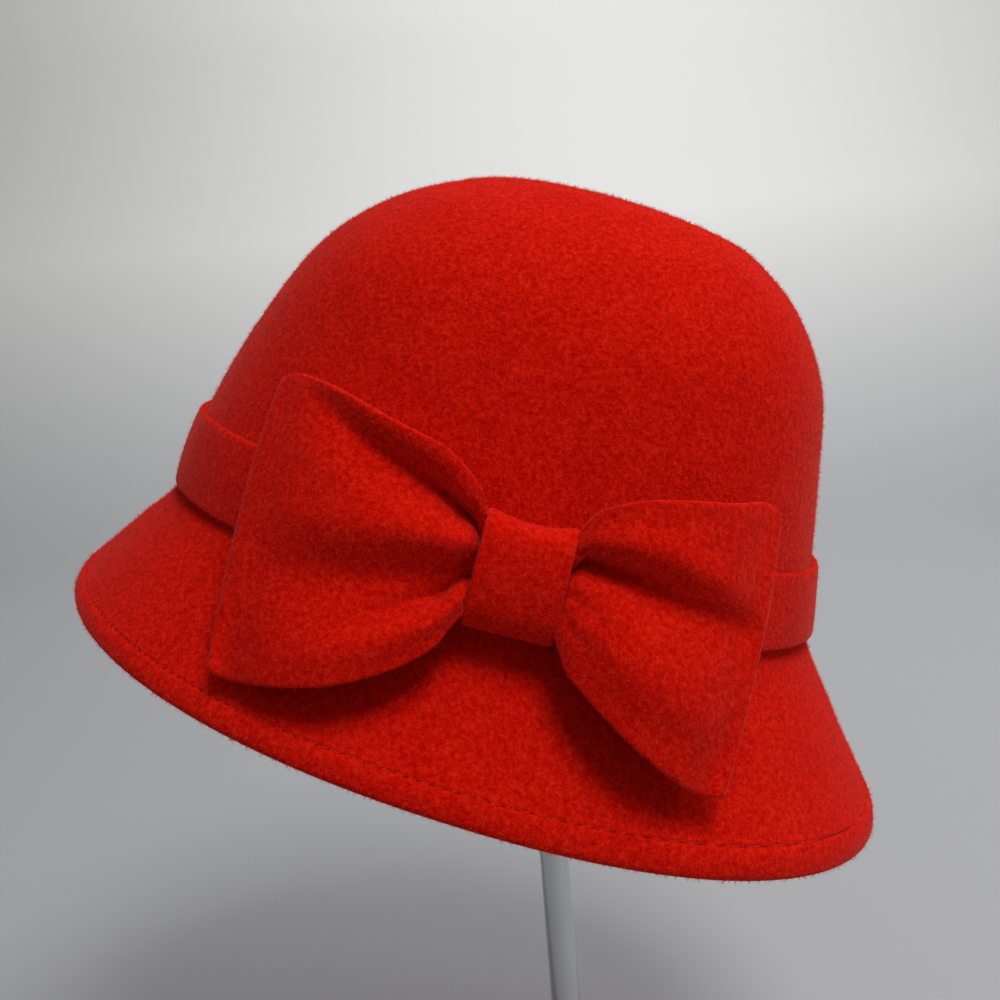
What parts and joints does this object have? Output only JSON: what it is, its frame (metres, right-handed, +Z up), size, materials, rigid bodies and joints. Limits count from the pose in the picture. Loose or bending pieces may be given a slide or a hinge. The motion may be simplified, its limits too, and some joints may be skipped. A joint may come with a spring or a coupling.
{
  "type": "cloche hat on a display stand",
  "caption": "Red felt cloche hat with a down-turned brim, a band and a folded felt bow at one side, tilted on a plain metal display stand.",
  "frame": {"origin": "centre of the underside of the stand's base, under the pole", "axes": "+Z up along the pole, -Y towards the front of the hat, -X towards the side with the bow"},
  "size_m": [0.2314, 0.246, 0.3432],
  "materials": {
    "felt": "matt pressed wool felt with a short raised nap",
    "chrome": "polished chrome plating"
  },
  "bodies": {
    "root": {"felt_body": "felt", "band": "felt", "bow": "felt", "knot": "felt", "stand_base": "chrome", "stand_pole": "chrome", "stand_top": "chrome"}
  },
  "joints": []
}
